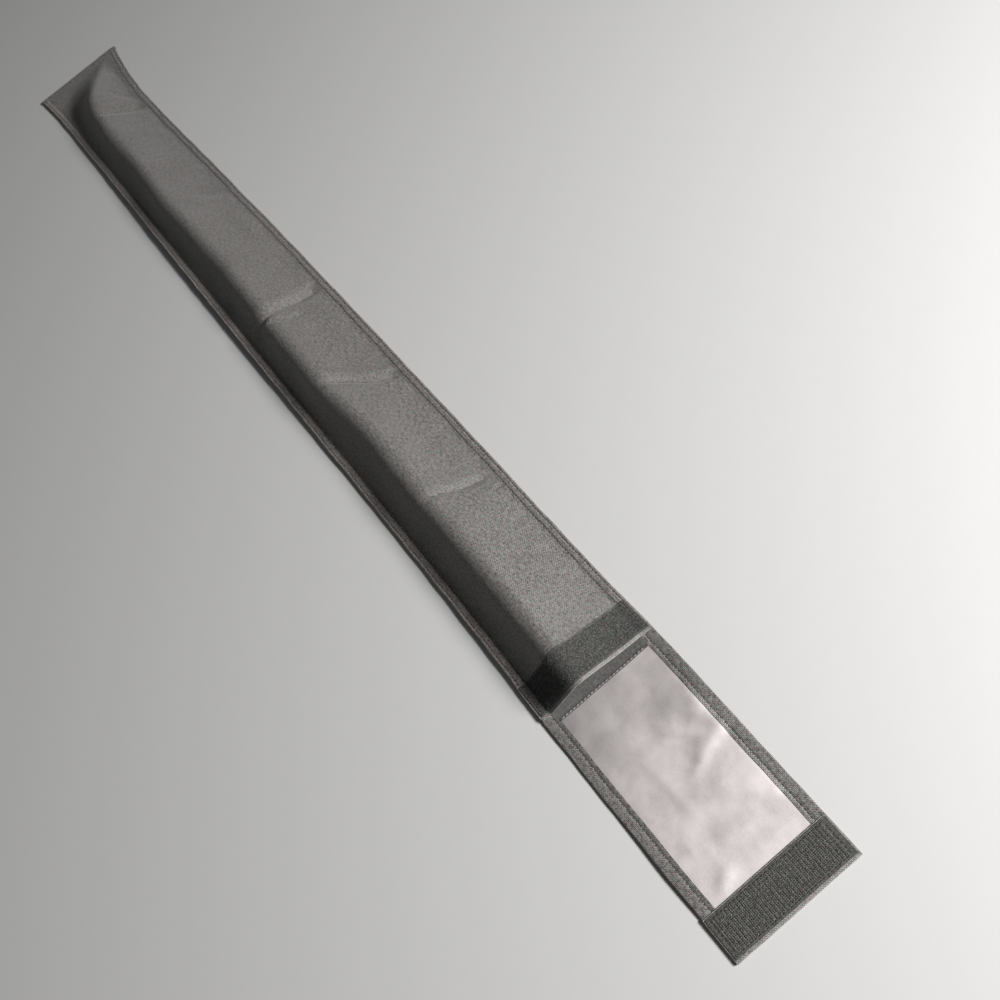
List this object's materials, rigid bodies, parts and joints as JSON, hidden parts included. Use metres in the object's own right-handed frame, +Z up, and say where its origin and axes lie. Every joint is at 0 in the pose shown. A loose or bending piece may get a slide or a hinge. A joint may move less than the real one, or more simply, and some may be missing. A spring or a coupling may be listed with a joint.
{
  "type": "soft cue case",
  "caption": "Long soft pouch for a jointed cue, sewn from coated woven fabric, with an open mouth and a fold-over flap that closes with hook-and-loop tape.",
  "frame": {"origin": "centre of the outline on the surface that the case lies on", "axes": "+X from the closed end to the flap's end, +Y across the case, +Z up out of the back panel"},
  "size_m": [1.222, 0.112, 0.0344],
  "materials": {
    "outer_fabric": "fine woven charcoal cloth with a soft sheen",
    "coated_side": "smooth glossy coating on the back of the weave",
    "lining": "matt thin lining",
    "loop_tape": "fuzzy loop pile",
    "hook_tape": "dense hook pile",
    "folded_edge": "folded woven cloth",
    "thread": "polyester thread"
  },
  "bodies": {
    "pouch": {"back_panel": "outer_fabric", "closed_end_fold": "outer_fabric", "front_panel": "outer_fabric", "mouth_lip": "folded_edge", "left_back_hem": "outer_fabric", "left_front_turn_in": "outer_fabric", "left_outer_stitches": "thread", "left_inner_stitches": "thread", "right_back_hem": "outer_fabric", "right_front_turn_in": "outer_fabric", "right_outer_stitches": "thread", "right_inner_stitches": "thread", "back_lining": "lining", "front_lining": "lining", "lining_stitches": "thread", "loop_strip": "loop_tape", "loop_stitches": "thread", "base_hem_stitches": "thread"},
    "flap_band": {"flap_band_panel": "coated_side", "left_band_hem": "outer_fabric", "right_band_hem": "outer_fabric", "band_hem_stitches": "thread"},
    "flap_tip": {"flap_tip_panel": "coated_side", "left_tip_hem": "outer_fabric", "right_tip_hem": "outer_fabric", "end_hem": "folded_edge", "hook_strip": "hook_tape", "hook_stitches": "thread", "tip_hem_stitches": "thread"}
  },
  "joints": [
    {"name": "flap_first_fold", "type": "hinge", "parent": "pouch", "child": "flap_band", "pos_m": [0.46685, 0, 0.0016], "axis": [0, -1, 0], "range_deg": [0, 90]},
    {"name": "flap_second_fold", "type": "hinge", "parent": "flap_band", "child": "flap_tip", "pos_m": [0.50215, 0, 0.0016], "axis": [0, -1, 0], "range_deg": [0, 90]}
  ],
  "couplings": [
    {"joint": "flap_second_fold", "follows": "flap_first_fold", "ratio": 1}
  ]
}
